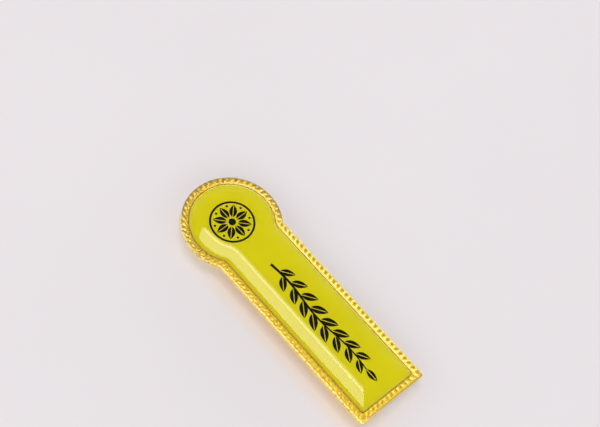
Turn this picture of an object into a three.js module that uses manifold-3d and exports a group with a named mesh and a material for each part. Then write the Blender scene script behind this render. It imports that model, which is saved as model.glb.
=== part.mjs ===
// Pin-on name badge, lying face up, in millimetres.
// A cast gilt frame, round at its head and straight along its bar, has a rope border and a shallow
// pocket. A coloured insert lies in the pocket under a clear resin dome, and a bar pin is fixed to
// the back. X runs from the head to the bar's end, and Z is up. The origin is below the middle of
// the badge, on the surface that the pin rests on.
import * as THREE from 'three';
import { mergeVertices } from 'three/addons/utils/BufferGeometryUtils.js';
import Module from 'manifold-3d';

const manifoldLibrary = await Module();
manifoldLibrary.setup();

// Outline of the badge
const badgeLength = 75.0; // from the far side of the head to the bar's end
const barWidth = 21.4;
const headOverhang = 2.6; // how far the head stands out past each side of the bar
const neckFillet = 1.2;
const cornerRadius = 0.5;

// Cast frame
const plateThickness = 0.9; // metal under the insert
const pocketDepth = 0.6; // from the rim's flat top down to the pocket's floor
const edgeBreak = 0.15; // bevel along the frame's lower and upper outer edges
const lipWidth = 0.3; // smooth lip outside the rope
const ropeWidth = 1.25;
const railWidth = 0.45; // smooth rail between the rope and the pocket

// Rope border
const strandPitch = 1.58; // length of border that one strand takes
const strandRise = 0.14; // crest of a strand above the rim's flat top
const strandGroove = 0.42; // depth of the groove between two strands
const footDrop = 0.08; // crease on both sides of the rope, below the rim's flat top

// Insert and resin dome
const insertThickness = 0.3;
const insertClearance = 0.1; // between the insert's edge and the pocket's wall
const domeEdge = 0.3; // upright edge of the resin before it rounds over
const domeRise = 0.95; // crown of the resin above its upright edge
const domeRounding = 1.7; // distance over which the resin's shoulder levels out

// Bar pin on the back
const pinHeight = 3.4; // from the resting surface to the back of the plate
const pinLength = 32.0;
const pinWidth = 5.0;
const pinBaseThickness = 0.6;
const pinBaseCorner = 1.6;
const footLength = 4.4; // length of the knuckle, and of the catch
const footRounding = 0.7;
const needleDiameter = 0.9;
const needleTip = 2.5; // length of the needle's point
const needleOverrun = 1.2; // how far the needle passes the catch
const needleClearance = 0.3; // between the needle and the catch's slot

// Places worked out from the sizes above
const barEnd = badgeLength / 2;
const barHalfWidth = barWidth / 2;
const headRadius = barHalfWidth + headOverhang;
const headCentre = headRadius - badgeLength / 2;
const pocketInset = lipWidth + ropeWidth + railWidth;
const insertInset = pocketInset + insertClearance;
const pocketFloor = pinHeight + plateThickness;
const rimTop = pocketFloor + pocketDepth;
const insertTop = pocketFloor + insertThickness;

// Border stretches, counterclockwise from the bar's end, with the hand of the rope on each
const border = [
  { stretch: 'end', hand: 1 },
  { stretch: 'corner', hand: 1 },
  { stretch: 'side', hand: -1 },
  { stretch: 'fillet', hand: -1 },
  { stretch: 'head', hand: 1 },
  { stretch: 'fillet', hand: 1 },
  { stretch: 'side', hand: 1 },
  { stretch: 'corner', hand: 1 },
];

// Points of a straight stretch, without its last one
function line(from, to, steps) {
  return Array.from({ length: steps }, (_, i) => from.clone().lerp(to, i / steps));
}

// Points of a round stretch, without its last one
function arc(centre, radius, fromAngle, toAngle, steps) {
  return Array.from({ length: steps }, (_, i) => {
    const angle = THREE.MathUtils.lerp(fromAngle, toAngle, i / steps);
    return new THREE.Vector2(Math.cos(angle), Math.sin(angle)).multiplyScalar(radius).add(centre);
  });
}

// Tangent point of the neck fillet, the same for every inset because all outlines are parallel:
// the fillet's centre is headRadius + neckFillet from the head's centre, and its height above the
// middle line is barHalfWidth + neckFillet
const filletHeight = barHalfWidth + neckFillet;
const filletReach = Math.sqrt((headRadius + neckFillet) ** 2 - filletHeight ** 2);
const neckAngle = Math.atan2(filletHeight, filletReach);

// The badge's outline moved inwards by an inset, with the given number of steps on each stretch
function outline(inset, steps) {
  const end = barEnd - inset;
  const half = barHalfWidth - inset;
  const corner = Math.min(cornerRadius, half / 2);
  const fillet = neckFillet + inset;
  const filletX = headCentre + filletReach;
  const point = (x, y) => new THREE.Vector2(x, y);
  const down = -Math.PI / 2;
  return [
    ...line(point(end, corner - half), point(end, half - corner), steps.end),
    ...arc(point(end - corner, half - corner), corner, 0, Math.PI / 2, steps.corner),
    ...line(point(end - corner, half), point(filletX, half), steps.side),
    ...arc(point(filletX, filletHeight), fillet, down, neckAngle - Math.PI, steps.fillet),
    ...arc(point(headCentre, 0), headRadius - inset, neckAngle, 2 * Math.PI - neckAngle, steps.head),
    ...arc(point(filletX, -filletHeight), fillet, Math.PI - neckAngle, -down, steps.fillet),
    ...line(point(filletX, -half), point(end - corner, -half), steps.side),
    ...arc(point(end - corner, corner - half), corner, down, 0, steps.corner),
  ];
}

// One ring of a stack: the outline at an inset, each point at the height that its number gives
function ring(inset, steps, heightAt) {
  return outline(inset, steps).map((p, i) => new THREE.Vector3(p.x, p.y, heightAt(i)));
}

function flatRing(inset, steps, height) {
  return ring(inset, steps, () => height);
}

// A closed solid from a stack of rings, with a flat cap on the first ring and on the last
function skin(rings) {
  const count = rings[0].length;
  const positions = rings.flat().flatMap((p) => p.toArray());
  const index = [];
  for (let level = 0; level + 1 < rings.length; level += 1) {
    for (let i = 0; i < count; i += 1) {
      const a = level * count + i;
      const b = level * count + ((i + 1) % count);
      index.push(a, b, b + count, a, b + count, a + count);
    }
  }
  const capOf = (points) => THREE.ShapeUtils.triangulateShape(points, []);
  const topStart = (rings.length - 1) * count;
  for (const [a, b, c] of capOf(rings[0])) {
    index.push(a, c, b);
  }
  for (const [a, b, c] of capOf(rings.at(-1))) {
    index.push(topStart + a, topStart + b, topStart + c);
  }
  const geometry = new THREE.BufferGeometry();
  geometry.setAttribute('position', new THREE.Float32BufferAttribute(positions, 3));
  geometry.setIndex(index);
  geometry.computeVertexNormals();
  return geometry;
}

// The rope has three steps to a strand, so that a groove falls on one step in three
const stepsPerStrand = 3;

function ropeSteps() {
  const middle = lipWidth + ropeWidth / 2;
  const strands = (length) => stepsPerStrand * Math.max(1, Math.round(length / strandPitch));
  const headSweep = 2 * (Math.PI - neckAngle);
  return {
    end: strands(2 * (barHalfWidth - middle - cornerRadius)),
    corner: stepsPerStrand,
    side: strands(barEnd - middle - cornerRadius - headCentre - filletReach),
    fillet: stepsPerStrand,
    head: strands((headRadius - middle) * headSweep),
  };
}

// Height of the rope. Across runs from -1 at its outer foot to 1 at its inner foot. The band is
// round across, and each groove is deepest on the step where a strand begins: that step moves
// forwards with the hand of the rope by one strand from foot to foot.
function ropeHeight(across, step, hand) {
  const bulge = 1 - across ** 2;
  const phase = (step + 0.5) / stepsPerStrand - (hand * across) / 2;
  const groove = Math.max(0, 1 - stepsPerStrand * Math.abs(phase - Math.round(phase)));
  return rimTop - footDrop + bulge * (footDrop + strandRise - strandGroove * groove);
}

function makeFrame() {
  const steps = ropeSteps();
  const hands = border.flatMap(({ stretch, hand }) => Array(steps[stretch]).fill(hand));
  const ropeRows = [-1, -1 / 3, 1 / 3, 1];
  const ropeRing = (across) => {
    const inset = lipWidth + (ropeWidth * (across + 1)) / 2;
    return ring(inset, steps, (i) => ropeHeight(across, i, hands[i]));
  };
  return skin([
    flatRing(edgeBreak, steps, pinHeight),
    flatRing(0, steps, pinHeight + edgeBreak),
    flatRing(0, steps, rimTop - edgeBreak),
    flatRing(edgeBreak, steps, rimTop),
    ...ropeRows.map(ropeRing),
    flatRing(pocketInset - railWidth / 2, steps, rimTop),
    flatRing(pocketInset, steps, rimTop),
    flatRing(pocketInset, steps, pocketFloor),
  ]);
}

// Steps of the smooth pieces
const smoothSteps = { end: 6, corner: 3, side: 8, fillet: 4, head: 40 };

function makeInsert() {
  return skin([
    flatRing(insertInset, smoothSteps, pocketFloor),
    flatRing(insertInset, smoothSteps, insertTop),
  ]);
}

// The resin levels out as 1 - exp(-distance from its edge / domeRounding). The rings are shares of
// the way from its edge to the middle line of the bar.
function makeDome() {
  const halfWidth = barHalfWidth - insertInset;
  const levelling = (distance) => 1 - Math.exp(-distance / domeRounding);
  const shares = [0, 0.02, 0.06, 0.12, 0.2, 0.32, 0.5, 0.7, 0.92];
  const shoulder = insertTop + domeEdge;
  return skin([
    flatRing(insertInset, smoothSteps, insertTop),
    ...shares.map((share) => {
      const distance = share * halfWidth;
      const height = shoulder + (domeRise * levelling(distance)) / levelling(halfWidth);
      return flatRing(insertInset + distance, smoothSteps, height);
    }),
  ]);
}

// A closed manifold solid from a three.js geometry, with shared corners merged and empty faces left out
function solid(geometry) {
  const bare = geometry.clone();
  bare.deleteAttribute('normal');
  bare.deleteAttribute('uv');
  const merged = mergeVertices(bare, 1e-4);
  const corners = merged.index.array;
  const kept = [];
  for (let i = 0; i < corners.length; i += 3) {
    const [a, b, c] = corners.slice(i, i + 3);
    if (a !== b && b !== c && c !== a) {
      kept.push(a, b, c);
    }
  }
  return new manifoldLibrary.Manifold(new manifoldLibrary.Mesh({
    numProp: 3,
    vertProperties: new Float32Array(merged.attributes.position.array),
    triVerts: new Uint32Array(kept),
  }));
}

function geometryOf(manifold) {
  const mesh = manifold.getMesh();
  const geometry = new THREE.BufferGeometry();
  geometry.setAttribute('position', new THREE.BufferAttribute(mesh.vertProperties, 3));
  geometry.setIndex(new THREE.BufferAttribute(mesh.triVerts, 1));
  geometry.computeVertexNormals();
  return geometry;
}

// A rectangle with rounded corners, centred on its width, standing on its lower edge
function roundedRectangle(width, bottom, top, radius) {
  const half = width / 2;
  const shape = new THREE.Shape();
  shape.moveTo(radius - half, bottom);
  shape.lineTo(half - radius, bottom);
  shape.absarc(half - radius, bottom + radius, radius, -Math.PI / 2, 0, false);
  shape.absarc(half - radius, top - radius, radius, 0, Math.PI / 2, false);
  shape.absarc(radius - half, top - radius, radius, Math.PI / 2, Math.PI, false);
  shape.absarc(radius - half, bottom + radius, radius, Math.PI, 1.5 * Math.PI, false);
  return shape;
}

const pinBaseBottom = pinHeight - pinBaseThickness;
const footTop = pinBaseBottom + pinBaseThickness / 2; // the feet run up into the base
const needleHeight = pinBaseBottom / 2;
const footCentre = pinLength / 2 - footLength / 2 - needleOverrun;

function makePinBase() {
  const plan = roundedRectangle(pinLength, -pinWidth / 2, pinWidth / 2, pinBaseCorner);
  const base = new THREE.ExtrudeGeometry(plan, {
    depth: pinBaseThickness, bevelEnabled: false, curveSegments: 4,
  });
  return base.translate(0, 0, pinBaseBottom);
}

// The knuckle is a block across the pin, rounded where it meets the cloth
function makeKnuckle() {
  const side = roundedRectangle(footLength, 0, footTop, footRounding);
  const knuckle = new THREE.ExtrudeGeometry(side, {
    depth: pinWidth, bevelEnabled: false, curveSegments: 4,
  });
  return knuckle.rotateX(Math.PI / 2).translate(-footCentre, pinWidth / 2, 0);
}

// The catch is a block whose slot is open on one side and holds the needle's free end
function makeCatch() {
  const half = pinWidth / 2;
  const slot = needleDiameter / 2 + needleClearance;
  const profile = new THREE.Shape();
  profile.moveTo(-half, 0);
  profile.lineTo(half, 0);
  profile.lineTo(half, needleHeight - slot);
  profile.lineTo(0, needleHeight - slot);
  profile.absarc(0, needleHeight, slot, -Math.PI / 2, Math.PI / 2, true);
  profile.lineTo(half, needleHeight + slot);
  profile.lineTo(half, footTop);
  profile.lineTo(-half, footTop);
  const block = new THREE.ExtrudeGeometry(profile, {
    depth: footLength, bevelEnabled: false, curveSegments: 6,
  });
  block.rotateX(Math.PI / 2).rotateZ(Math.PI / 2);
  return block.translate(footCentre - footLength / 2, 0, 0);
}

// The needle is turned about its own length, from inside the knuckle to its point past the catch
function makeNeedle() {
  const radius = needleDiameter / 2;
  const tip = footCentre + footLength / 2 + needleOverrun;
  const profile = [
    new THREE.Vector2(0, -footCentre),
    new THREE.Vector2(radius, -footCentre),
    new THREE.Vector2(radius, tip - needleTip),
    new THREE.Vector2(0, tip),
  ];
  const needle = new THREE.LatheGeometry(profile, 10);
  return needle.rotateZ(-Math.PI / 2).translate(0, 0, needleHeight);
}

function makePin() {
  const pieces = [makePinBase(), makeKnuckle(), makeCatch(), makeNeedle()].map(solid);
  return geometryOf(pieces.reduce((whole, piece) => whole.add(piece)));
}

const gilt = new THREE.MeshStandardMaterial({ color: 0xe8b92e, roughness: 0.25, metalness: 1.0 });
const lime = new THREE.MeshStandardMaterial({ color: 0xd3cd1e, roughness: 0.5, metalness: 0.0 });
const resin = new THREE.MeshStandardMaterial({
  color: 0xf6f6e6, roughness: 0.05, metalness: 0.0, transparent: true, opacity: 0.3,
});
const steel = new THREE.MeshStandardMaterial({ color: 0xc9ccd0, roughness: 0.35, metalness: 1.0 });

function piece(name, geometry, material) {
  const mesh = new THREE.Mesh(geometry, material);
  mesh.name = name;
  return mesh;
}

const badge = new THREE.Group();
badge.add(
  piece('badge_frame', makeFrame(), gilt),
  piece('colour_insert', makeInsert(), lime),
  piece('resin_dome', makeDome(), resin),
  piece('brooch_pin', makePin(), steel),
);

export default badge;
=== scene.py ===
import math

import bpy
import numpy as np
from bpy.props import FloatProperty, FloatVectorProperty, IntProperty, PointerProperty
from mathutils import Matrix


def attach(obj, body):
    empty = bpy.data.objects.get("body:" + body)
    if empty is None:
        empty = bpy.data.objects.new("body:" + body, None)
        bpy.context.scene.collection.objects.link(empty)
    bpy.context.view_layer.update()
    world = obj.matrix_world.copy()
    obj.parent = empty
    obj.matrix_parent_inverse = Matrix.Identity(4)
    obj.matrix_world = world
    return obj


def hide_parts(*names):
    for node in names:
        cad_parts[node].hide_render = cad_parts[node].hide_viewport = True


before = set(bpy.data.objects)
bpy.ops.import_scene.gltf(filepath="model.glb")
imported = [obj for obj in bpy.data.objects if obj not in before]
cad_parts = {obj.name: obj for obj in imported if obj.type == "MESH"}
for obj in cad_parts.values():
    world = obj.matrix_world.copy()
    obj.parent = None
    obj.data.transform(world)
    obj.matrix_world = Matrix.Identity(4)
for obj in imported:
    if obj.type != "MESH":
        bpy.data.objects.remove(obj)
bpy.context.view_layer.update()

bl_info = {
    "name": "Name badge",
    "version": (1, 0, 0),
    "blender": (4, 5, 0),
    "location": "3D View > Sidebar > Badge",
    "description": "A pin-on name badge: gilt rope frame, printed insert, resin dome and bar pin",
    "category": "Object",
}

MM = 0.001
QUARTER = math.pi / 2


def number(name, description, default, least=0.0, **settings):
    """A number that the user may change."""
    return FloatProperty(
        name=name, description=description, default=default, min=least, **settings
    )


def size(name, description, millimetres):
    """A length, given in millimetres and kept in metres."""
    return number(name, description, millimetres * MM, precision=5, unit="LENGTH")


def slope(name, description, degrees):
    """An angle, given in degrees and kept in radians."""
    return number(name, description, math.radians(degrees), max=math.radians(80), subtype="ANGLE")


def share(name, description, default):
    """A plain number from 0 to 1."""
    return number(name, description, default, max=1.0, subtype="FACTOR")


def whole(name, description, default, least, most):
    """A whole number."""
    return IntProperty(name=name, description=description, default=default, min=least, max=most)


def colour(name, description, default):
    """A linear colour."""
    return FloatVectorProperty(
        name=name, description=description, default=default, size=3, min=0.0, max=1.0,
        subtype="COLOR",
    )


class OutlineSizes(bpy.types.PropertyGroup):
    """Outline of the badge, seen from above"""

    length: size("Length", "From the far side of the head to the bar's end", 75.0)
    bar_width: size("Bar width", "Across the bar's two straight sides", 21.4)
    head_overhang: size("Head overhang", "How far the head stands out past the bar", 2.599)
    neck_fillet: size("Neck fillet", "Radius where the head meets the bar", 1.2)
    corner_radius: size("Corner radius", "Radius of the bar's two corners", 0.8)


class BorderSizes(bpy.types.PropertyGroup):
    """Cast frame and its rope border, from the outer edge inwards"""

    plate_thickness: size("Plate thickness", "Metal under the insert", 0.9)
    pocket_depth: size("Pocket depth", "From the rim's flat top to the pocket's floor", 0.6)
    edge_round: size("Edge rounding", "Rounding of the frame's outer edges", 0.3)
    pocket_round: size("Pocket rounding", "Rounding at the pocket's edge", 0.09)
    outer_slope: slope("Outer slope", "Fall towards the pocket, next to the outer edge", 3.0)
    inner_slope: slope("Inner slope", "Fall towards the pocket, next to the pocket", 5.0)
    lip_width: size("Lip width", "Smooth lip outside the rope", 0.3)
    rope_width: size("Rope width", "Width of the twisted band", 1.25)
    rail_width: size("Rail width", "Smooth rail between the rope and the pocket", 0.45)
    strand_pitch: size("Strand pitch", "Length of border that one strand takes", 1.58)
    strand_groove: size("Strand groove", "Greatest depth between two strands", 0.2)
    worn_rope: share("Worn rope", "Share of that depth that the near side has lost", 0.65)
    worn_end: share("Worn end", "Share of that loss on the bar's end", 0.3)
    groove_peak: share("Groove peak", "Deepest place, from the outer to the inner foot", 0.25)
    end_peak: share("End peak", "The same along the bar's end", 0.5)
    end_shift: size("End shift", "How much nearer to the pocket the rope lies on the end", 0.35)
    crown_rise: size("Crown rise", "Outer edge of the border above the rim's flat top", 0.09)
    strand_steps: whole("Steps per strand", "Mesh steps along one strand", 12, 3, 24)


class GoldShades(bpy.types.PropertyGroup):
    """Painted shade, sheen and dark edge on the gold, and its specks"""

    # Painted shade: darker gold next to the pocket, more on the far side, less on the near side
    pocket_shade_width: size("Worn width", "Deeper gold on the border, next to the pocket", 0.6)
    pocket_shade_wider: share("Worn wider", "How much wider on the far side", 0.3)
    pocket_shade: share("Worn", "Strength of that deeper gold", 0.5)
    pocket_shade_far: share("Worn, far side", "Added on the far side", 0.15)
    pocket_shade_near: share("Worn, near side", "Taken away on the near side", 0.12)
    # Painted paler sheen on the far side, and how much of it the rail loses
    rail_sheen_fade: share("Rail", "Loss of pale gold on the far side's rail", 0.6)
    # Painted shade on the pocket's wall is lessened on the far side by this share
    far_wall: share("Pocket wall", "Gold on the far side's dull pocket wall", 0.6)
    # Painted highlight on the near side's outer lip
    lip_width: size("Lip width", "Palest gold, on the near side's outer edge", 0.8)
    # Painted dark reflection along the outer edges, strongest round the head and on the end, least
    # on the near side
    edge_shade_width: size("Aged width", "Brown line on the other outer edges", 0.75)
    edge_shade_wall: share("Aged wall", "That brown at the foot of the outer wall", 0.3)
    edge_shade_sides: share("Aged sides", "That line along the bar, against the head", 0.3)
    edge_shade_end: share("Aged end", "The bar's end, between its sides and the head", 0.45)
    clouds: share("Clouds", "Deeper gold in soft clouds", 0.2)
    # Painted shade: more deep clouds on the near side, standing in for shade between the rope's
    # strands
    near_shade_clouds: share("Clouds, near side", "Added on the near side", 0.6)
    flecks: share("Flecks", "Brown specks on the head", 0.9)


class CoverSizes(bpy.types.PropertyGroup):
    """Insert, its ink and the resin poured over it"""

    insert_thickness: size("Insert thickness", "Printed sheet in the pocket", 0.3)
    insert_clearance: size("Insert clearance", "Between the insert and the pocket's wall", 0.1)
    # Painted shade line along the insert's edge, where it meets the pocket
    insert_edge_shade: size("Insert edge", "Darker line along the insert's cut edge", 0.1)
    ink_thickness: size("Ink thickness", "Printed ornament above the insert", 0.02)
    contact: size("Contact", "How far resin and ink reach into the insert", 0.02)
    dome_edge: size("Dome edge", "Upright edge of the resin", 0.3)
    dome_rise: size("Dome rise", "Crown of the resin above its upright edge", 0.95)
    # Painted shade at the resin's brim as a dark amber tint, stronger on the near side, the end
    # and the head's near side
    brim_shade_width: size("Cast width", "Width of the amber cast inside the brim", 1.0)
    foot_shade: share("Foot cast", "Amber cast just inside the brim, on the near side", 0.18)
    far_brim_shade: share("Far cast", "Amber of the brim away from the near side", 0.22)
    end_brim_shade: share("End cast", "Amber along the bar's end", 0.5)
    head_brim_shade: share("Head cast", "Amber along the head's near side", 0.7)
    dome_rounding: size("Dome rounding", "Distance over which the shoulder levels out", 1.7)
    brim_round: size("Brim rounding", "Rounding at the resin's upper edge", 0.3)
    ridge_round: size("Ridge rounding", "Rounding of the resin's ridges at the corners", 0.12)


class PrintSizes(bpy.types.PropertyGroup):
    """Black ornaments on the insert"""

    ring_radius: size("Ring radius", "Ring round the rosette", 6.0)
    ring_width: size("Ring width", "Line width of that ring", 0.55)
    petal_count: whole("Petals", "Petals of the rosette", 8, 3, 24)
    petal_start: size("Petal start", "From the rosette's middle to a petal's foot", 1.45)
    petal_end: size("Petal end", "From the rosette's middle to a petal's tip", 5.0)
    petal_width: size("Petal width", "Widest part of a petal", 2.05)
    bead_radius: size("Bead radius", "Round beads between the petals", 0.32)
    eye_radius: size("Eye radius", "Round middle of the rosette", 1.0)
    sprig_start: size("Sprig start", "Stem's foot, from the middle of the badge", 9.0)
    sprig_length: size("Sprig length", "Stem from foot to tip", 36.5)
    sprig_pairs: whole("Leaf pairs", "Pairs of leaves along the sprig", 8, 2, 30)
    leaf_length: size("Leaf length", "Longest leaf", 5.3)
    leaf_width: size("Leaf width", "Widest leaf", 2.2)
    vein_width: size("Vein width", "Unprinted line along a leaf or petal", 0.2)
    stem_width: size("Stem width", "Stem at its foot", 0.7)


class PinSizes(bpy.types.PropertyGroup):
    """Bar pin on the back"""

    height: size("Height", "From the resting surface to the back of the plate", 3.4)
    length: size("Length", "Base strip", 32.0)
    width: size("Width", "Base strip", 5.0)
    base_thickness: size("Base thickness", "Base strip", 0.6)
    base_corner: size("Base corner", "Corner radius of the base strip", 1.6)
    foot_length: size("Foot length", "Knuckle and catch, along the pin", 4.4)
    foot_round: size("Foot rounding", "Knuckle's corners", 0.7)
    edge_round: size("Edge rounding", "Small rounding on every edge", 0.12)
    needle_diameter: size("Needle diameter", "Round wire", 0.9)
    needle_tip: size("Needle tip", "Length of the needle's point", 2.5)
    needle_overrun: size("Needle overrun", "How far the needle passes the catch", 1.2)
    needle_clearance: size("Needle clearance", "Between the needle and the catch", 0.3)


class BadgeFinishes(bpy.types.PropertyGroup):
    """Colours of the badge's own materials, some of them painted light and shade"""

    gilt: colour("Gilt", "Polished gold plate", (0.97, 0.71, 0.06))
    # Painted sheen and highlight: paler gold on the far side, palest on the near side's lip
    gilt_painted_sheen: colour("Pale gilt", "Paler gold along the far side", (0.98, 0.79, 0.11))
    gilt_lip_highlight: colour("Lip gilt", "Palest gold, on the near side's lip", (0.99, 0.83, 0.19))
    # Painted shade in the grooves and next to the pocket
    gilt_deep_shade: colour("Deep gilt", "Gold plate down in the grooves", (0.62, 0.36, 0.01))
    # Brown specks on the head, and a painted dark reflection along the outer edges
    gilt_specks_and_edge_shade: colour("Aged gilt", "Brown specks and outer line", (0.36, 0.25, 0.07))
    # Painted shade on the metal round the insert
    gilt_pocket_shade: colour("Pocket wall", "Dull metal round the insert", (0.58, 0.42, 0.06))
    gilt_roughness: share("Gilt roughness", "Polished crests", 0.38)
    gilt_dullness: share("Gilt dullness", "Added roughness in the grooves and on the back", 0.2)
    lacquer: share("Lacquer", "Clear coat over the gold plate", 1.0)
    lime: colour("Lime", "Printed insert", (0.63, 0.59, 0.001))
    lime_light: colour("Light lime", "Lighter patches of the print", (0.655, 0.615, 0.002))
    # Painted shade along the insert's edge
    lime_edge_shade: colour("Lime edge", "Cut edge of the insert", (0.34, 0.25, 0.004))
    resin: colour("Resin", "Clear casting resin", (1.0, 1.0, 0.97))
    # Painted shade at the resin's brim, as a dark amber tint
    resin_brim_shade: colour("Resin edge", "Amber cast at the edge of the pour", (0.40, 0.18, 0.03))
    ink: colour("Ink", "Black ink", (0.003, 0.002, 0.0005))
    steel: colour("Steel", "Nickel-plated pin", (0.62, 0.62, 0.63))


class StageSettings(bpy.types.PropertyGroup):
    """Floor, lamps and camera"""

    floor_side: size("Floor side", "Square floor", 6000.0)
    floor_colour: colour("Floor", "Pale table top", (0.56, 0.547, 0.567))
    floor_glow: number("Floor glow", "Light that comes up through the table top", 0.24)
    # Painted warm shade and gold light on the floor beside the near side
    painted_gold_bounce: colour("Gold on the floor", "Tint that the gilt edge throws", (1.0, 0.86, 0.7))
    lamp_height: size("Lamp height", "Softbox above the table", 1005.0)
    lamp_length: size("Lamp length", "Softbox along the badge", 590.0)
    lamp_width: size("Lamp width", "Softbox across the badge", 572.0)
    lamp_corner: size("Lamp corner", "Corner radius of the softbox", 150.0)
    lamp_seam: size("Lamp seam", "Width of a brighter strip near the softbox's far edge", 26.0)
    lamp_fade: size("Lamp fade", "Beyond that strip, where the softbox grows dim", 58.0)
    lamp_glow: number("Lamp", "Brightness of the softbox", 3.85)
    seam_glow: number("Seam", "Brightness of that strip", 7.0)
    ceiling: number("Ceiling", "Brightness overhead, round the softbox", 0.09)
    near_wall: number("Near wall", "Brightness of the room on the bar's side", 1.65)
    far_wall: number("Far wall", "Brightness of the room on the other side", 0.45)
    far_low: number("Far wall's foot", "Brightness low down on the other side", 4.5)
    lens: number("Lens", "Focal length", 96.0, 1.0, unit="CAMERA")


GROUPS = {
    "badge_outline": OutlineSizes,
    "badge_border": BorderSizes,
    "badge_gold": GoldShades,
    "badge_cover": CoverSizes,
    "badge_print": PrintSizes,
    "badge_pin": PinSizes,
    "badge_finish": BadgeFinishes,
    "badge_stage": StageSettings,
}


class Layout:
    """Places worked out from the sizes, as in the solid model."""

    def __init__(self, scene):
        outline, border = scene.badge_outline, scene.badge_border
        cover, pin = scene.badge_cover, scene.badge_pin
        self.bar_end = outline.length / 2
        self.half = outline.bar_width / 2
        self.corner = outline.corner_radius
        self.neck = outline.neck_fillet
        self.head_radius = self.half + outline.head_overhang
        self.head_x = self.head_radius - self.bar_end
        self.neck_height = self.half + self.neck
        reach = math.sqrt((self.head_radius + self.neck) ** 2 - self.neck_height**2)
        self.neck_x = self.head_x + reach
        self.neck_angle = math.atan2(self.neck_height, reach)
        self.pocket_inset = border.lip_width + border.rope_width + border.rail_width
        self.insert_inset = self.pocket_inset + cover.insert_clearance
        self.plate_bottom = pin.height
        self.pocket_floor = pin.height + border.plate_thickness
        self.rim_top = self.pocket_floor + border.pocket_depth
        self.insert_top = self.pocket_floor + cover.insert_thickness

    def outline(self, inset, steps, corner=None):
        """Outline moved inwards by an inset, counterclockwise from the bar's end.

        It is made of the end, a corner arc, the straight side, the neck's hollow arc, the head's
        arc round the head's centre, and the same stretches mirrored. Steps gives how many equal
        parts each stretch has."""
        end, half = self.bar_end - inset, self.half - inset
        corner = min(corner or self.corner, half / 2)
        neck, bend = self.neck + inset, self.neck_angle
        left, right = (self.neck_x, self.neck_height), (self.neck_x, -self.neck_height)
        head = self.head_radius - inset
        return np.concatenate([
            line((end, corner - half), (end, half - corner), steps["end"]),
            arc((end - corner, half - corner), corner, 0, QUARTER, steps["corner"]),
            line((end - corner, half), (self.neck_x, half), steps["side"]),
            arc(left, neck, -QUARTER, bend - math.pi, steps["neck"]),
            arc((self.head_x, 0), head, bend, math.tau - bend, steps["head"]),
            arc(right, neck, math.pi - bend, QUARTER, steps["neck"]),
            line((self.neck_x, -half), (end - corner, -half), steps["side"]),
            arc((end - corner, corner - half), corner, -QUARTER, 0, steps["corner"]),
        ])

    def sides(self, track):
        """How far each point of an outline lies towards the near and the far side, and whether it
        is on the bar's end and on the head, each from 0 to 1."""
        near = np.clip(-track[:, 1] / self.half, 0, 1)
        far = np.clip(track[:, 1] / self.half, 0, 1)
        end = 1.0 * (track[:, 0] > track[:, 0].max() - self.corner / 2)
        head = np.clip((self.neck_x - track[:, 0]) / (2 * self.neck), 0, 1)
        return near, far, end, head


def line(start, stop, steps):
    """Evenly spaced points from start towards stop, without the last one."""
    along = np.arange(steps)[:, None] / steps
    return np.asarray(start) * (1 - along) + np.asarray(stop) * along


def arc(centre, radius, start, stop, steps):
    """Evenly spaced points on a circle from one angle towards another, without the last one."""
    angle = start + (stop - start) * np.arange(steps) / steps
    return np.asarray(centre) + radius * np.stack([np.cos(angle), np.sin(angle)], 1)


def quarter_round(steps):
    """A rounded edge as 1 - cosine and sine of 0 to 90 degrees, ends included."""
    angle = np.linspace(0, QUARTER, steps + 1)
    return 1 - np.cos(angle), np.sin(angle)


def raised(points, height):
    """Flat points with one height added as their last number."""
    return np.concatenate([points, np.full((*points.shape[:-1], 1), height)], -1)


def ring_stack(rings):
    """Vertices and faces of a closed solid: quads between neighbouring rings, a cap at both ends.

    Rings has the shape (levels, points, 3). Corner i of level k is joined to corner i + 1 and to
    the same corners of level k + 1, and the last corner of a ring is joined to its first."""
    levels, count = rings.shape[:2]
    here = np.arange(levels * count).reshape(levels, count)
    there = np.roll(here, -1, 1)
    quads = np.stack([here[:-1], there[:-1], there[1:], here[1:]], -1).reshape(-1, 4)
    caps = [here[0, ::-1].tolist(), here[-1].tolist()]
    return rings.reshape(-1, 3), quads.tolist() + caps


def joined(shells):
    """Vertices and faces of several closed shells in one mesh."""
    vertices, faces, start = [], [], 0
    for points, polygons in shells:
        vertices.append(points)
        faces += [[corner + start for corner in polygon] for polygon in polygons]
        start += len(points)
    return np.concatenate(vertices), faces


def make_piece(name, shell, material, replaced=None, crease=40.0):
    """A finished piece at the origin, smooth but for edges sharper than the crease angle."""
    vertices, faces = shell
    mesh = bpy.data.meshes.new(name)
    mesh.from_pydata(vertices.tolist(), [], faces)
    mesh.validate()
    mesh.shade_smooth()
    mesh.set_sharp_from_angle(angle=math.radians(crease))
    mesh.materials.append(material)
    piece = bpy.data.objects.new(name, mesh)
    bpy.context.scene.collection.objects.link(piece)
    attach(piece, "root")
    if replaced:
        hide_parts(replaced)
    return piece


def point_values(piece, name, values):
    """Keeps one number for each vertex, for a material to read."""
    attribute = piece.data.attributes.new(name, "FLOAT", "POINT")
    attribute.data.foreach_set("value", np.asarray(values, np.float32).ravel())


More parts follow.
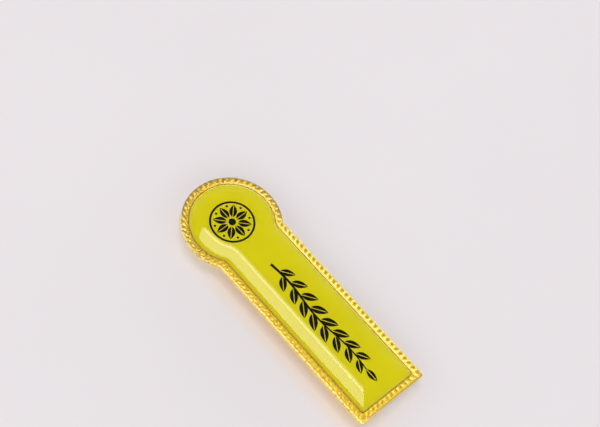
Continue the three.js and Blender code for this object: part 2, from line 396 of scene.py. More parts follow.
class Nodes:
    """Short calls for one material's or world's node tree."""

    def __init__(self, owner):
        owner.use_nodes = True
        self.tree = owner.node_tree
        self.tree.nodes.clear()

    def add(self, kind, inputs=None, **settings):
        """A node with its settings, and its inputs set to a value or linked to an output."""
        node = self.tree.nodes.new(kind)
        for key, value in settings.items():
            setattr(node, key, value)
        for key, value in (inputs or {}).items():
            if isinstance(value, bpy.types.NodeSocket):
                self.tree.links.new(value, node.inputs[key])
            else:
                node.inputs[key].default_value = value
        return node

    def noise(self, coordinates, feature, detail):
        """Noise whose blobs are about one feature across, in metres."""
        return self.add(
            "ShaderNodeTexNoise", {"Vector": coordinates, "Scale": 1 / feature, "Detail": detail}
        ).outputs["Fac"]

    def between(self, factor, low, high, start=0.0, stop=1.0):
        """A number that goes from low to high as the factor goes from start to stop."""
        return self.add(
            "ShaderNodeMapRange",
            {"Value": factor, "From Min": start, "From Max": stop, "To Min": low, "To Max": high},
        ).outputs["Result"]

    def blend(self, factor, low, high):
        """A colour between two colours."""
        node = self.add("ShaderNodeMix", {"Factor": factor}, data_type="RGBA")
        for socket, value in ((node.inputs[6], low), (node.inputs[7], high)):
            if isinstance(value, bpy.types.NodeSocket):
                self.tree.links.new(value, socket)
            else:
                socket.default_value = (*value, 1.0)
        return node.outputs[2]

    def bump(self, height, distance, strength=1.0, normal=None):
        """A bumped normal. Distance is the full height of the bumps, in metres."""
        inputs = {"Height": height, "Distance": distance, "Strength": strength}
        if normal is not None:
            inputs["Normal"] = normal
        return self.add("ShaderNodeBump", inputs).outputs["Normal"]

    def maths(self, operation, *numbers):
        """The result of one of the Math node's operations on numbers or outputs."""
        return self.add(
            "ShaderNodeMath", dict(enumerate(numbers)), operation=operation
        ).outputs["Value"]

    def kept(self, name):
        """The number that the piece keeps for each vertex under this name."""
        return self.add("ShaderNodeAttribute", attribute_name=name).outputs["Fac"]

    def object_point(self):
        """Place on the piece itself, in metres."""
        return self.add("ShaderNodeTexCoord").outputs["Object"]

    def finish(self, surface):
        self.add("ShaderNodeOutputMaterial", {"Surface": surface})

    def surface(self, inputs):
        """The material's surface as one Principled shader with these inputs."""
        self.finish(self.add("ShaderNodeBsdfPrincipled", inputs).outputs["BSDF"])


UNDER_RESIN = 0.05  # specular level of the print, whose shine the resin takes away


def tinted(tint, factor):
    """A colour times a number or times another colour."""
    return tuple(np.multiply(tint, factor).tolist())


def gilt_material(finish, gold):
    """Bright gold plate over a casting: duller in the grooves, with painted shade there, next to
    the pocket and on the pocket's wall; soft clouds, more of them on the near side as painted
    shade; brown specks on the head and a painted dark reflection along the outer edges; a
    painted paler sheen on the far side and a painted highlight on the near lip; a slight orange
    peel, and a fine sanded grain on the back."""
    material = bpy.data.materials.new("gilt_plate")
    n = Nodes(material)
    place = n.object_point()
    cloud = n.noise(place, 0.7 * MM, 3.0)
    speck = n.noise(place, 0.5 * MM, 1.0)
    peel = n.noise(place, 0.38 * MM, 2.0)
    grain = n.noise(place, 0.09 * MM, 1.0)
    groove, back = n.kept("groove"), n.kept("back")

    # Clouds are random tone; the extra ones on the near side are painted shade between the strands
    cloudy = n.maths("MULTIPLY_ADD", n.kept("near"), gold.near_shade_clouds, gold.clouds)
    depth = n.maths("MAXIMUM", groove, n.between(cloud, 0.0, cloudy, 0.49, 0.63))
    fleck = n.between(speck, 0.08, gold.flecks, 0.49, 0.66)
    brown = n.maths("MULTIPLY_ADD", fleck, n.kept("head"), n.kept("painted_edge_shade"))
    # Tints below: painted sheen, painted highlight, painted shade in grooves and clouds, the
    # head's specks with a painted dark edge, painted shade on the pocket's wall
    tint = n.blend(n.kept("pale"), finish.gilt, finish.gilt_painted_sheen)
    tint = n.blend(n.kept("lip"), tint, finish.gilt_lip_highlight)
    tint = n.blend(depth, tint, finish.gilt_deep_shade)
    tint = n.blend(brown, tint, finish.gilt_specks_and_edge_shade)
    tint = n.blend(n.kept("pocket"), tint, finish.gilt_pocket_shade)

    polish = n.between(peel, finish.gilt_roughness - 0.04, finish.gilt_roughness + 0.08, 0.3, 0.7)
    dull = n.maths("MAXIMUM", groove, back)
    sanded = n.maths("MULTIPLY", grain, back)
    n.surface({
        "Base Color": tint,
        "Metallic": 1.0,
        "Roughness": n.maths("MULTIPLY_ADD", dull, finish.gilt_dullness, polish),
        "Coat Weight": finish.lacquer,
        "Coat Roughness": 0.14,
        "Normal": n.bump(sanded, 0.01 * MM, 1.0, n.bump(peel, 0.05 * MM)),
    })
    return material


def lime_material(finish):
    """Smooth printed sheet: an even lime ink with faint clouds and a very fine printed dot."""
    material = bpy.data.materials.new("lime_print")
    n = Nodes(material)
    place = n.object_point()
    cloud = n.noise(place, 9.0 * MM, 2.0)
    dot = n.noise(place, 0.12 * MM, 1.0)
    tone = n.maths("MULTIPLY_ADD", dot, 0.35, cloud)
    tint = n.blend(n.between(tone, 0.0, 1.0, 0.45, 0.95), finish.lime, finish.lime_light)
    n.surface({
        # Painted shade line along the insert's edge
        "Base Color": n.blend(n.kept("edge"), tint, finish.lime_edge_shade),
        "Roughness": n.between(dot, 0.45, 0.6, 0.3, 0.7),
        "Specular IOR Level": UNDER_RESIN,
        "Normal": n.bump(dot, 0.002 * MM, 0.5),
    })
    return material


def ink_material(finish):
    """Black printed ink with a faintly uneven coat."""
    material = bpy.data.materials.new("black_print")
    n = Nodes(material)
    coat = n.noise(n.object_point(), 0.35 * MM, 3.0)
    n.surface({
        "Base Color": n.blend(coat, finish.ink, tinted(finish.ink, 2.2)),
        "Roughness": n.between(coat, 0.4, 0.6, 0.3, 0.7),
        "Specular IOR Level": UNDER_RESIN,
        "Normal": n.bump(coat, 0.003 * MM, 0.5),
    })
    return material


def resin_material(finish):
    """Clear poured resin: glass with a barely uneven skin, which lets the lamps' light through to
    the print below it."""
    material = bpy.data.materials.new("clear_resin")
    n = Nodes(material)
    place = n.object_point()
    # The edge tint is painted shade at the brim, as a dark amber colour
    tint = n.blend(n.kept("edge"), finish.resin, finish.resin_brim_shade)
    sag = n.noise(place, 7.0 * MM, 1.0)
    haze = n.noise(place, 1.1 * MM, 2.0)
    glass = n.add("ShaderNodeBsdfPrincipled", {
        "Base Color": tint,
        "Roughness": n.between(haze, 0.012, 0.035, 0.3, 0.7),
        "IOR": 1.52,
        "Transmission Weight": 1.0,
        "Normal": n.bump(sag, 0.02 * MM, 0.2),
    })
    clear = n.add("ShaderNodeBsdfTransparent", {"Color": tint})
    shadow = n.add("ShaderNodeLightPath").outputs["Is Shadow Ray"]
    mixed = n.add("ShaderNodeMixShader", {0: shadow, 1: glass.outputs[0], 2: clear.outputs[0]})
    n.finish(mixed.outputs["Shader"])
    return material


def steel_material(finish):
    """Nickel-plated steel with fine drawn lines along the pin."""
    material = bpy.data.materials.new("nickel_steel")
    n = Nodes(material)
    place = n.object_point()
    drawn_out = n.add("ShaderNodeMapping", {"Vector": place, "Scale": (0.06, 1.0, 1.0)})
    drawn = n.noise(drawn_out.outputs["Vector"], 0.11 * MM, 3.0)
    stain = n.noise(place, 3.0 * MM, 3.0)
    stained = n.between(stain, 0.0, 1.0, 0.35, 0.7)
    n.surface({
        "Base Color": n.blend(stained, finish.steel, tinted(finish.steel, 0.82)),
        "Metallic": 1.0,
        "Roughness": n.between(drawn, 0.22, 0.42, 0.3, 0.7),
        "Normal": n.bump(drawn, 0.006 * MM, 0.7),
    })
    return material


def floor_material(stage):
    """Pale matte table top with a hardly visible mottle, and a tan tint beside the bar's near
    side: painted warm shade and painted gold light, as the gilt edge would throw there."""
    material = bpy.data.materials.new("pale_table")
    n = Nodes(material)
    place = n.object_point()
    mottle = n.between(n.noise(place, 90.0 * MM, 2.0), 0.0, 1.0, 0.3, 0.7)
    tint = n.blend(mottle, stage.floor_colour, tinted(stage.floor_colour, 0.97))
    glowing = (1.0, 0.955, 0.99)

    # Each ramp goes from none to all of the painted tint, between two places on an axis in
    # millimetres
    spot = n.add("ShaderNodeSeparateXYZ", {"Vector": place}).outputs
    ramps = (("Y", -15.5, -9.5), ("Y", 0.0, -6.0), ("X", -30.0, -14.0), ("X", 42.0, 34.0))
    beside = 1.0
    for axis, none, full in ramps:
        beside = n.between(spot[axis], 0.0, beside, none * MM, full * MM)

    # Painted warm shade and gold light, in the floor's colour and in its glow
    n.surface({
        "Base Color": n.blend(beside, tint, tinted(stage.floor_colour, stage.painted_gold_bounce)),
        "Roughness": 0.55,
        "Specular IOR Level": 0.3,
        "Emission Color": n.blend(beside, glowing, tinted(glowing, stage.painted_gold_bounce)),
        "Emission Strength": stage.floor_glow,
    })
    return material


def rope_steps(layout, outline, border):
    """Mesh steps on each stretch: a whole number of strands along the rope's middle line."""
    middle = border.lip_width + border.rope_width / 2
    sweep = 2 * (math.pi - layout.neck_angle)
    lengths = {
        "end": 2 * (layout.half - middle - outline.corner_radius),
        "side": layout.bar_end - middle - outline.corner_radius - layout.neck_x,
        "head": (layout.head_radius - middle) * sweep,
    }
    strands = {key: max(1, round(value / border.strand_pitch)) for key, value in lengths.items()}
    strands.update(corner=1, neck=1)
    return {key: value * border.strand_steps for key, value in strands.items()}


STRETCHES = ("end", "corner", "side", "neck", "head", "neck", "side", "corner")
HANDS = (1, 1, -1, -1, 1, 1, 1, 1)


def rope_depth(inset, step, hand, peak, border):
    """How deep in a groove each point is, from 0 to 1.

    Across the rope the depth is the square of a sine of a power of the place, which makes it
    fullest where the peak says. Along it the depth is the 4th power of the cosine of the phase,
    which leaves rounded strands with short round hollows between them. The phase moves by half a
    strand from the rope's outer to its inner foot, with the hand of the rope."""
    across = np.clip((inset - border.lip_width) / border.rope_width, 0, 1)
    envelope = np.sin(math.pi * across ** (math.log(0.5) / np.log(peak))) ** 2
    phase = step / border.strand_steps - hand * (across - 0.5) / 2
    return envelope * np.cos(math.pi * phase) ** 4


def crown_height(inset, layout, border):
    """Top of the border without its rope: a parabola that falls ever more towards the pocket."""
    span = layout.pocket_inset - border.edge_round
    past = (inset - border.edge_round) / span
    outer, inner = math.tan(border.outer_slope), math.tan(border.inner_slope)
    fall = span * past * (outer + past * (inner - outer) / 2)
    return layout.rim_top + border.crown_rise - fall


def gilt_frame(layout, outline, border, gold):
    """Closed shell of the frame, and its shades: rings of the outline at growing insets.

    The back's edge is a quarter round. Above the wall an arc leads into the crowned border, from
    which the rope's grooves are taken, and a smaller arc leads down to the pocket's wall."""
    steps = rope_steps(layout, outline, border)
    hands = np.repeat(HANDS, [steps[name] for name in STRETCHES])
    count = len(hands)
    back, edge, pocket = layout.plate_bottom, border.edge_round, layout.pocket_inset
    inner, tilt = border.pocket_round, border.inner_slope
    turn = np.linspace(0, QUARTER - tilt, 6)[::-1]
    crown_stop = pocket - inner * (1 - math.sin(tilt))
    rail_top = crown_height(crown_stop, layout, border) - inner * math.cos(tilt)
    out, up = quarter_round(5)
    across = np.linspace(edge, crown_stop, 28)
    insets = np.concatenate([
        edge * (1 - up),
        edge * out,
        across[1:-1],
        pocket - inner * (1 - np.cos(turn)),
        [pocket, pocket],
    ])
    heights = np.concatenate([
        back + edge * out,
        layout.rim_top + border.crown_rise - edge * (1 - up),
        crown_height(across[1:-1], layout, border),
        rail_top + inner * np.sin(turn),
        [layout.insert_top, layout.pocket_floor],
    ])
    sides = layout.sides(layout.outline(0.0, steps))
    near, _, end, _ = sides
    peak = border.groove_peak + (border.end_peak - border.groove_peak) * end
    rope_inset = insets[:, None] - border.end_shift * end
    depth = rope_depth(rope_inset, np.arange(count) + 0.5, hands, peak, border)
    depth *= 1 - border.worn_rope * np.maximum(near, border.worn_end * end)
    rings = np.stack([
        np.column_stack([layout.outline(inset, steps), height - border.strand_groove * hollow])
        for inset, height, hollow in zip(insets, heights, depth)
    ])
    return ring_stack(rings), gilt_shades(layout, border, gold, insets, heights, depth, sides)


def gilt_shades(layout, border, gold, insets, heights, depth, sides):
    """Numbers from 0 to 1 that tint the gold at each point of the frame's rings. Most of them are
    painted light: shade in the grooves, next to the pocket and on the pocket's wall, a dark
    reflection along the outer edge, a paler sheen on the far side and a highlight on the near lip.

    Each is a straight ramp over the inset, cut off at 0 and 1, times how far the point lies
    towards a side, the head or the bar's end. A core above 1 makes a ramp full before its edge.
    The first ring is the back, and the last two are the pocket's wall."""
    near, far, end, head = sides
    inset, pocket = insets[:, None], layout.pocket_inset
    upper = heights[:, None] > layout.pocket_floor
    rail = far * (1 - head)
    lip_core, edge_shade_core, rail_blur = 1.3, 1.6, 0.3
    is_back, pocket_wall_shade = np.zeros_like(depth), np.zeros_like(depth)
    is_back[0] = 1.0
    # Painted shade on the pocket's wall, less of it on the far side
    pocket_wall_shade[-2:] = 1 - gold.far_wall * far

    # Painted shade next to the pocket, wider and stronger on the far side, weaker on the near side
    pocket_shade = np.clip(1 - (pocket - inset) / (gold.pocket_shade_width * (1 + gold.pocket_shade_wider * rail)), 0, 1)
    pocket_shade *= gold.pocket_shade + gold.pocket_shade_far * rail - gold.pocket_shade_near * near
    on_rail = (inset - border.lip_width - border.rope_width) / border.rail_width
    on_rail = np.clip(on_rail + rail_blur, 0, 1)
    outer_half = np.clip(2 - 2 * inset / pocket, 0, 1)
    # Painted highlight on the near side's outer lip
    lip = np.clip(lip_core * (1 - inset / gold.lip_width), 0, 1)
    # Painted dark reflection along the outer edge, little of it on the near side
    painted_edge_shade = np.clip(edge_shade_core * (1 - inset / gold.edge_shade_width), 0, 1)
    painted_edge_shade = painted_edge_shade * np.where(upper, 1.0, gold.edge_shade_wall) * (1 - near**4)
    darker_edge = np.maximum(head, gold.edge_shade_end * end)
    # Grooves are duller and, with the pocket's edge and wall, get painted shade; the near side
    # gets painted shade clouds; the outer edge a painted dark reflection, the far side a painted
    # sheen, the near lip a painted highlight; the head its specks
    return {
        "groove": np.maximum(depth, pocket_shade),
        "back": is_back,
        "pocket": pocket_wall_shade,
        "head": head * upper,
        "near": near * upper,
        "painted_edge_shade": painted_edge_shade * (gold.edge_shade_sides + (1 - gold.edge_shade_sides) * darker_edge),
        "pale": far * (1 - head * outer_half) * (1 - gold.rail_sheen_fade * on_rail),
        "lip": lip * near,
    }


SMOOTH_STEPS = {"end": 36, "corner": 8, "side": 96, "neck": 14, "head": 160}


def stacked_outline(layout, levels):
    """Closed shell from (inset, height, corner radius) levels of the smooth outline."""
    return ring_stack(np.stack([
        raised(layout.outline(inset, SMOOTH_STEPS, corner), height)
        for inset, height, corner in levels
    ]))


def insert_shell(layout, cover):
    """Thin sheet with a slightly eased upper edge, and how much of each point is the cut edge,
    where a line of painted shade goes.
    """
    inset, top, ease = layout.insert_inset, layout.insert_top, 0.02 * MM
    insets = (inset, inset, inset + ease, inset + cover.insert_edge_shade)
    heights = (layout.pocket_floor, top - ease, top, top)
    shell = stacked_outline(layout, zip(insets, heights, [layout.corner] * 4))
    return shell, np.repeat([1.0, 1.0, 1.0, 0.0], len(shell[0]) // 4)


def resin_shell(layout, cover):
    """Poured resin: height = brim + rise x (1 - exp(-distance / rounding)), scaled to reach the
    full rise at the bar's middle line, with a small curve over the brim. The rings stop just
    short of that line and lie closer together near the brim. The second result says how much
    painted shade each point has, as a dark amber tint: at the brim, and along the near side and
    the end at its foot too."""
    inset, reach = layout.insert_inset, layout.half - layout.insert_inset
    brim = layout.insert_top + cover.dome_edge

    full = 1 - math.exp(-reach / cover.dome_rounding)

    def height(distance):
        return brim + cover.dome_rise * (1 - np.exp(-distance / cover.dome_rounding)) / full

    ease = cover.brim_round
    t = np.linspace(0, 1, 6)
    curve_in = t**2 * ease
    curve_up = (1 - t) ** 2 * (brim - ease / 2) + 2 * t * (1 - t) * brim + t**2 * height(ease)
    last_ring, crowding, foot_inset = 0.92 * reach, 1.7, 0.01 * MM
    distance = ease + (last_ring - ease) * np.linspace(0, 1, 34)[1:] ** crowding
    inward = np.concatenate([[foot_inset, 0.0], curve_in, distance])
    heights = np.concatenate([
        [layout.insert_top - cover.contact, layout.insert_top], curve_up, height(distance)
    ])
    corners = np.maximum(layout.corner - inward, cover.ridge_round)
    near, _, end, head = layout.sides(layout.outline(inset, SMOOTH_STEPS))
    # Painted shade as a dark amber tint: round the brim, more along the near side, the end and the
    # head's near side, and just inside the brim there
    side = np.maximum(near * (1 - (1 - cover.head_brim_shade) * head), cover.end_brim_shade * end)
    brim_shade = np.concatenate([[1.0, 1.0], 1 - t**4, np.zeros_like(distance)])
    fade = np.clip(1 - (distance - ease) / cover.brim_shade_width, 0, 1)
    foot_shade = cover.foot_shade * np.concatenate([[0.0, 0.0], t**2, fade])
    cast = brim_shade[:, None] * (cover.far_brim_shade + (1 - cover.far_brim_shade) * side)
    cast += foot_shade[:, None] * side
    shell = stacked_outline(layout, zip(inset + inward, heights, corners))
    return shell, cast.ravel()


def ribbons(left, right, low, high, hoop=False):
    """Closed thin solids between pairs of edge lines.

    Left and right have the shape (ribbons, points, 2). Each ribbon is a tube of four corners per
    point: left at the lower and the upper height, right at the upper and the lower one. It has a
    cap at its first and at its last point, or as a hoop its last point is joined to its first."""
    count, points = left.shape[:2]
    corners = np.stack(
        [raised(left, low), raised(left, high), raised(right, high), raised(right, low)], 2
    )
    here = np.arange(count * points * 4).reshape(count, points, 4)
    caps = [] if hoop else np.concatenate([here[:, 0, ::-1], here[:, -1]]).tolist()
    if hoop:
        here = np.concatenate([here, here[:, :1]], 1)
    there = np.roll(here, -1, 2)
    quads = np.stack([here[:, :-1], there[:, :-1], there[:, 1:], here[:, 1:]], -1).reshape(-1, 4)
    return corners.reshape(-1, 3), quads.tolist() + caps


def leaf_halves(foot, tip, width, vein):
    """Edge lines of the two halves of almond-shaped leaves, split by an unprinted vein.

    Foot and tip are (leaves, 2), width is (leaves,). Along a leaf the half width is width / 2
    times the 0.8th power of sin(pi t ^ 0.85), so the leaf is fullest nearer to its foot. Each half
    runs from the vein's edge to that curve. The vein narrows to a tenth in the leaf's last
    sixth."""
    t = np.linspace(0.0, 1.0, 25)[None, :]
    axis = tip - foot
    side = np.stack([-axis[:, 1], axis[:, 0]], 1) / np.linalg.norm(axis, axis=1)[:, None]
    middle = foot[:, None] + axis[:, None] * t[..., None]
    belly = width[:, None] / 2 * np.sin(math.pi * t**0.85) ** 0.8
    inner = vein / 2 * np.clip(6 * (1 - t), 0.1, 1) * np.ones_like(belly)
    thinnest = 0.02 * MM
    outer = np.maximum(belly, inner + thinnest)
    near, far = side[:, None] * inner[..., None], side[:, None] * outer[..., None]
    left = np.concatenate([middle + far, middle - near])
    right = np.concatenate([middle + near, middle - far])
    return left, right


def disc_edges(centres, radius):
    """Edge lines of filled circles, as an upper and a lower half circle that nearly meet."""
    angle = math.pi * np.linspace(0.99, 0.01, 25)
    arc_up = radius * np.stack([np.cos(angle), np.sin(angle)], 1)
    centres = np.asarray(centres, float)[:, None]
    return centres + arc_up, centres + arc_up * (1, -1)


def rosette(layout, printed, low, high):
    """Rosette in the head: petals split by their veins, beads between them, an eye and a ring."""
    centre = np.array([layout.head_x, 0.0])
    count, gap = printed.petal_count, math.pi / printed.petal_count
    ray = arc((0, 0), 1.0, 0, math.tau, count)
    between = arc((0, 0), 1.0, gap, math.tau + gap, count)
    foot, tip = centre + ray * printed.petal_start, centre + ray * printed.petal_end
    width = np.full(count, printed.petal_width)
    petals = leaf_halves(foot, tip, width, printed.vein_width)
    bead_reach = printed.petal_end - printed.bead_radius
    beads = disc_edges(centre + between * bead_reach, printed.bead_radius)
    eye = disc_edges([centre], printed.eye_radius)
    inner, outer = [
        arc(centre, radius, 0, math.tau, 128)[None]
        for radius in (printed.ring_radius - printed.ring_width, printed.ring_radius)
    ]
    ring = ribbons(inner, outer, low, high, hoop=True)
    return joined([ribbons(*edges, low, high) for edges in (petals, beads, eye)] + [ring])


def sprig(printed, low, high):
    """Leafy sprig along the bar: a stem with a slow sine wave, pairs of leaves that lean towards
    its tip, and a last leaf at the tip.

    At the share t of the stem a leaf's size is 0.62 + 0.38 sin(pi (0.18 + 0.72 t)) of the
    longest, and it leans by 38 - 8 t degrees."""
    start = np.array([-printed.sprig_start, 0.0])
    length, pairs = printed.sprig_length, printed.sprig_pairs
    wave, waves, taper = 0.45 * MM, 1.5, 0.55

    def stem_at(t):
        return start + np.stack([length * t, wave * np.sin(math.tau * t * waves)], -1)

    t = np.linspace(0, 1, 80)
    along = stem_at(t)
    run = np.gradient(along, axis=0)
    across = np.stack([-run[:, 1], run[:, 0]], 1) / np.linalg.norm(run, axis=1)[:, None]
    half = (printed.stem_width / 2 * (1 - taper * t))[:, None]
    stem = ((along + across * half)[None], (along - across * half)[None])

    bare_foot, bare_tip, stagger, stalk = 0.6, 0.3, 0.35, 0.12
    place = np.repeat((np.arange(pairs) + bare_foot) / (pairs + bare_foot + bare_tip), 2)
    upper = np.tile([1.0, -1.0], pairs)
    place = place + np.where(upper > 0, 0.0, stagger / pairs)
    foot = stem_at(place)
    scale = 0.62 + 0.38 * np.sin(math.pi * (0.18 + 0.72 * place))
    lean = np.radians(38 - 8 * place)
    reach = printed.leaf_length * scale
    tip = foot + np.stack([reach * np.cos(lean), upper * reach * np.sin(lean)], 1)
    foot = foot + (tip - foot) * stalk
    leaves = leaf_halves(foot, tip, printed.leaf_width * scale, printed.vein_width)

    last_length, last_width = 0.75 * printed.leaf_length, 0.8 * printed.leaf_width
    last_foot = stem_at(np.array([1.0]))
    last_tip = last_foot + np.array([[last_length, 0.0]])
    last = leaf_halves(last_foot, last_tip, np.array([last_width]), printed.vein_width)
    return joined([ribbons(*edges, low, high) for edges in (stem, leaves, last)])


def inset_loop(loop, inset):
    """A closed polygon moved inwards: each corner goes along the mean of its two sides' normals,
    by the inset over the cosine of half the turn."""
    edge = np.roll(loop, -1, 0) - loop
    normal = np.stack([-edge[:, 1], edge[:, 0]], 1) / np.linalg.norm(edge, axis=1)[:, None]
    both = normal + np.roll(normal, 1, 0)
    return loop + both * inset * 2 / np.sum(both**2, 1, keepdims=True)


def rounded_rectangle(centre, width, height, radius):
    """Counterclockwise rectangle with rounded corners."""
    x, y = width / 2 - radius, height / 2 - radius
    return np.asarray(centre) + np.concatenate([
        arc((sx * x, sy * y), radius, i * QUARTER, (i + 1) * QUARTER + 1e-9, 8)
        for i, (sx, sy) in enumerate([(1, 1), (-1, 1), (-1, -1), (1, -1)])
    ])


def rounded_prism(loop, low, high, edge):
    """A closed polygon carried from low to high, with its two end edges rounded."""
    out, up = quarter_round(3)
    levels = [(edge * (1 - s), low + edge * c) for s, c in zip(up, out)]
    levels += [(edge * s, high - edge * (1 - c)) for s, c in zip(out, up)]
    return ring_stack(np.stack([
        raised(inset_loop(loop, inset), height) for inset, height in levels
    ]))


def bar_pin(pin):
    """Bar pin as closed shells that run into each other: base strip, knuckle, catch and needle."""
    base_bottom = pin.height - pin.base_thickness
    foot_top = base_bottom + pin.base_thickness / 2
    needle_height = base_bottom / 2
    foot_x = pin.length / 2 - pin.foot_length / 2 - pin.needle_overrun
    half, edge = pin.width / 2, pin.edge_round
    heel = 3 * edge

    strip = rounded_rectangle((0, 0), pin.length, pin.width, pin.base_corner)
    base = rounded_prism(strip, base_bottom, pin.height, edge)

    side = rounded_rectangle((-foot_x, foot_top / 2), pin.foot_length, foot_top, pin.foot_round)
    points, faces = rounded_prism(side, -half, half, edge)
    knuckle = (points[:, [0, 2, 1]] * (1, -1, 1), faces)

    slot = pin.needle_diameter / 2 + pin.needle_clearance
    low, top = needle_height - slot, needle_height + slot
    profile = np.concatenate([
        arc((heel - half, heel), heel, -math.pi, -QUARTER, 5),
        arc((half - heel, heel), heel, -QUARTER, 0, 5),
        [(half, low)],
        arc((0, needle_height), slot, -QUARTER, -3 * QUARTER, 14),
        [(0, top), (half, top), (half, foot_top), (-half, foot_top)],
    ])
    catch_start, catch_end = foot_x - pin.foot_length / 2, foot_x + pin.foot_length / 2
    points, faces = rounded_prism(profile, catch_start, catch_end, edge)
    catch = (points[:, [2, 0, 1]], faces)

    # The point's radius falls as 1 - t ^ 1.5, down to a small blunt end
    tip = catch_end + pin.needle_overrun
    radius, blunt = pin.needle_diameter / 2, 0.06
    t = np.linspace(0, 1, 10)
    along = np.concatenate([[-foot_x], tip - pin.needle_tip * (1 - t)])
    thick = np.concatenate([[radius], radius * np.maximum(1 - t**1.5, blunt)])
    circle = arc((0, 0), 1.0, 0, math.tau, 24)
    rings = np.stack([
        np.column_stack([np.full(24, x), r * circle[:, 0], needle_height + r * circle[:, 1]])
        for x, r in zip(along, thick)
    ])
    return joined([base, knuckle, catch, ring_stack(rings)])


class BADGE_OT_frame(bpy.types.Operator):
    """Makes the cast gilt frame with its rope border, in place of the plain frame"""

    bl_idname = "badge.make_frame"
    bl_label = "Gilt frame"

    def execute(self, context):
        scene = context.scene
        outline, border, gold = scene.badge_outline, scene.badge_border, scene.badge_gold
        shell, shades = gilt_frame(Layout(scene), outline, border, gold)
        material = gilt_material(scene.badge_finish, gold)
        piece = make_piece("gilt_frame", shell, material, "badge_frame", 50.0)
        for name, values in shades.items():
            point_values(piece, name, values)
        return {"FINISHED"}


class BADGE_OT_insert(bpy.types.Operator):
    """Makes the lime insert and its black ornaments"""

    bl_idname = "badge.make_insert"
    bl_label = "Printed insert"

    def execute(self, context):
        scene = context.scene
        layout, cover, printed = Layout(scene), scene.badge_cover, scene.badge_print
        shell, edge = insert_shell(layout, cover)
        lime, ink = lime_material(scene.badge_finish), ink_material(scene.badge_finish)
        sheet = make_piece("lime_sheet", shell, lime, "colour_insert")
        point_values(sheet, "edge", edge)
        low, high = layout.insert_top - cover.contact, layout.insert_top + cover.ink_thickness
        make_piece("ink_rosette", rosette(layout, printed, low, high), ink)
        make_piece("ink_sprig", sprig(printed, low, high), ink)
        return {"FINISHED"}


class BADGE_OT_resin(bpy.types.Operator):
    """Makes the clear resin dome over the insert"""

    bl_idname = "badge.make_resin"
    bl_label = "Resin dome"

    def execute(self, context):
        scene = context.scene
        shell, edge = resin_shell(Layout(scene), scene.badge_cover)
        material = resin_material(scene.badge_finish)
        dome = make_piece("poured_resin", shell, material, "resin_dome")
        point_values(dome, "edge", edge)
        return {"FINISHED"}


class BADGE_OT_pin(bpy.types.Operator):
    """Makes the bar pin on the back"""

    bl_idname = "badge.make_pin"
    bl_label = "Bar pin"

    def execute(self, context):
        scene = context.scene
        shell, material = bar_pin(scene.badge_pin), steel_material(scene.badge_finish)
        make_piece("bar_pin", shell, material, "brooch_pin")
        return {"FINISHED"}


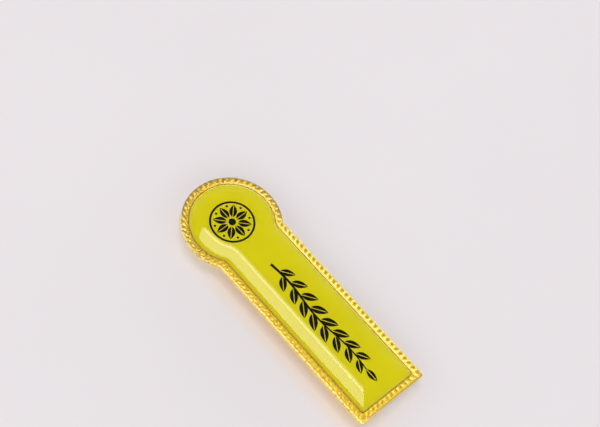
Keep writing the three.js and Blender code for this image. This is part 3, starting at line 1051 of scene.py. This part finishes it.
class BADGE_OT_stage(bpy.types.Operator):
    """Makes the pale floor, the softbox, the room's soft light and the camera"""

    bl_idname = "badge.make_stage"
    bl_label = "Stage"

    def execute(self, context):
        scene = context.scene
        stage = scene.badge_stage
        scene.view_settings.view_transform = "Standard"
        for make in (self.make_floor, self.make_lamp, self.make_room, self.make_camera):
            make(scene, stage)
        return {"FINISHED"}

    def sheet(self, scene, name, corners, material):
        """A flat sheet with one face."""
        mesh = bpy.data.meshes.new(name)
        mesh.from_pydata(corners, [], [range(len(corners))])
        mesh.materials.append(material)
        made = bpy.data.objects.new(name, mesh)
        scene.collection.objects.link(made)
        return made

    def make_floor(self, scene, stage):
        half = stage.floor_side / 2
        corners = [(-half, -half, 0), (half, -half, 0), (half, half, 0), (-half, half, 0)]
        floor = self.sheet(scene, "table_top", corners, floor_material(stage))

    def make_lamp(self, scene, stage):
        """Softbox with rounded corners, as a shining sheet that faces down."""
        centre, seam_blur, warm_white = (-0.135, 0.061), 4 * MM, (1.0, 0.92, 0.89, 1.0)
        loop = rounded_rectangle(centre, stage.lamp_length, stage.lamp_width, stage.lamp_corner)
        material = bpy.data.materials.new("softbox_cloth")
        n = Nodes(material)
        across = n.add("ShaderNodeSeparateXYZ", {"Vector": n.object_point()}).outputs["Y"]
        edge = centre[1] + stage.lamp_width / 2
        fade = edge - stage.lamp_fade
        seam = fade - stage.lamp_seam
        start, stop = seam - seam_blur, seam + seam_blur
        strip = n.between(across, stage.lamp_glow, stage.seam_glow, start, stop)
        strength = n.between(across, strip, 0.0, fade, edge)
        light = n.add("ShaderNodeEmission", {"Color": warm_white, "Strength": strength})
        n.finish(light.outputs["Emission"])
        corners = raised(loop[::-1], stage.lamp_height).tolist()
        lamp = self.sheet(scene, "softbox", corners, material)

    def make_room(self, scene, stage):
        """Room light: bright walls on the bar's near side, dim ones with a bright foot across
        from it, and a dark ceiling."""
        world = bpy.data.worlds.new("studio")
        scene.world = world
        n = Nodes(world)
        near_side, cool_white = (0.35, -0.94, 0.0), (1.0, 0.985, 0.99, 1.0)
        direction = n.add("ShaderNodeTexCoord").outputs["Generated"]
        toward = n.add(
            "ShaderNodeVectorMath", {0: direction, 1: near_side}, operation="DOT_PRODUCT"
        ).outputs["Value"]
        up = n.add("ShaderNodeSeparateXYZ", {"Vector": direction}).outputs["Z"]
        far = n.between(up, stage.far_low, stage.far_wall, 0.12, 0.3)
        wall = n.between(toward, far, stage.near_wall, -0.6, 0.6)
        strength = n.between(up, wall, stage.ceiling, 0.6, 0.85)
        light = n.add("ShaderNodeBackground", {"Color": cool_white, "Strength": strength})
        n.add("ShaderNodeOutputWorld", {"Surface": light.outputs["Background"]})

    def make_camera(self, scene, stage):
        """Camera at the photo's angle to the badge's face, from its own three axes and place."""
        data = bpy.data.cameras.new("camera")
        data.lens, data.sensor_width = stage.lens, 36.0
        data.clip_start, data.clip_end = 0.01, 20.0
        camera = bpy.data.objects.new("camera", data)
        right = (0.65602, 0.73729, 0.16134)
        up = (-0.70733, 0.52603, 0.4722)
        back = (0.26328, -0.4239, 0.8666)
        place = (0.09384, -0.16019, 0.3649)
        turn = Matrix((right, up, back)).transposed().to_4x4()
        camera.matrix_world = Matrix.Translation(place) @ turn
        scene.collection.objects.link(camera)
        scene.camera = camera


OPERATORS = (BADGE_OT_frame, BADGE_OT_insert, BADGE_OT_resin, BADGE_OT_pin, BADGE_OT_stage)


class BADGE_PT_panel(bpy.types.Panel):
    """Sizes, colours and makers of the badge"""

    bl_idname = "BADGE_PT_panel"
    bl_label = "Name badge"
    bl_space_type = "VIEW_3D"
    bl_region_type = "UI"
    bl_category = "Badge"

    def draw(self, context):
        for operator in OPERATORS:
            self.layout.operator(operator.bl_idname)
        for group_name, group in GROUPS.items():
            box = self.layout.box()
            box.label(text=group.__doc__)
            for name in group.__annotations__:
                box.prop(getattr(context.scene, group_name), name)


CLASSES = (*GROUPS.values(), *OPERATORS, BADGE_PT_panel)


def register():
    for cls in CLASSES:
        bpy.utils.register_class(cls)
    for name, group in GROUPS.items():
        setattr(bpy.types.Scene, name, PointerProperty(type=group))


def unregister():
    for name in GROUPS:
        delattr(bpy.types.Scene, name)
    for cls in reversed(CLASSES):
        bpy.utils.unregister_class(cls)


def main():
    register()
    bpy.ops.badge.make_frame()
    bpy.ops.badge.make_insert()
    bpy.ops.badge.make_resin()
    bpy.ops.badge.make_pin()
    bpy.ops.badge.make_stage()


if __name__ == "__main__":
    main()
